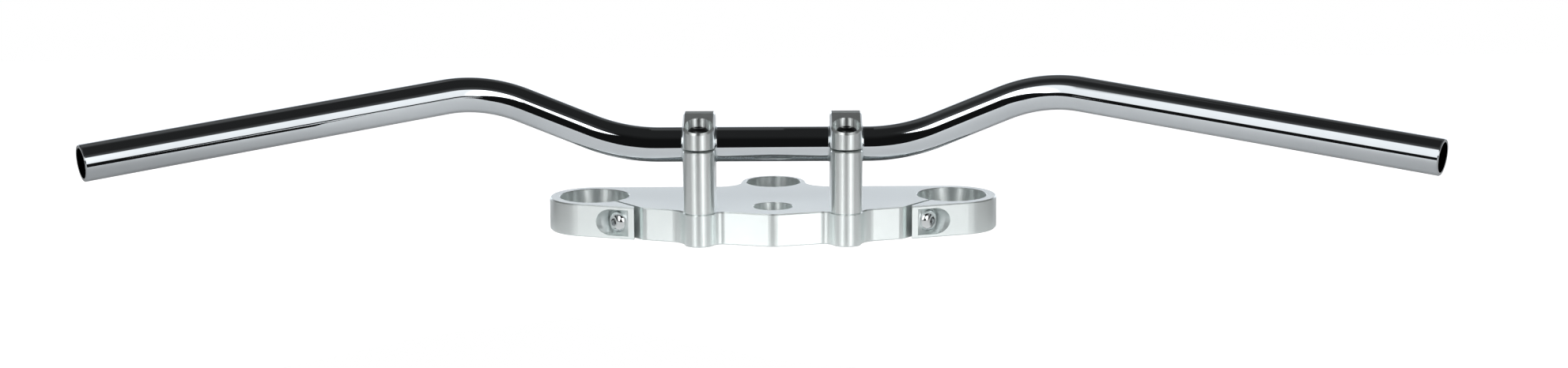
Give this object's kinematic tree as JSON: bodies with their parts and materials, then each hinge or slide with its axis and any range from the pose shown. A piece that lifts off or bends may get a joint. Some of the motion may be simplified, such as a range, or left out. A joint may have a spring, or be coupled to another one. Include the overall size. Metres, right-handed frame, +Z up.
{
  "type": "motorcycle handlebar",
  "caption": "Bent chrome handlebar tube clamped by capped riser posts on a milled aluminium top yoke with split fork clamps, stem bore and ignition lock lobe.",
  "frame": {"origin": "on the steering stem axis at the underside of the yoke", "axes": "+X to the right of the bike along the bar, +Y forward, +Z up along the stem bore"},
  "size_m": [0.8026, 0.2364, 0.1056],
  "materials": {
    "bar_chrome": "polished chrome plate on steel",
    "yoke_aluminium": "fine milled, clear anodised satin",
    "riser_aluminium": "turned and polished",
    "cap_aluminium": "turned and polished",
    "clamp_bolt_steel": "dark plated steel",
    "pinch_bolt_steel": "bright zinc plated steel"
  },
  "bodies": {
    "root": {"handlebar": "bar_chrome", "top_yoke": "yoke_aluminium", "riser_post_left": "riser_aluminium", "riser_post_right": "riser_aluminium", "clamp_cap_left": "cap_aluminium", "clamp_cap_right": "cap_aluminium", "clamp_bolt_left_front": "clamp_bolt_steel", "clamp_bolt_left_rear": "clamp_bolt_steel", "clamp_bolt_right_front": "clamp_bolt_steel", "clamp_bolt_right_rear": "clamp_bolt_steel", "pinch_bolt_left": "pinch_bolt_steel", "pinch_bolt_right": "pinch_bolt_steel"}
  },
  "joints": []
}
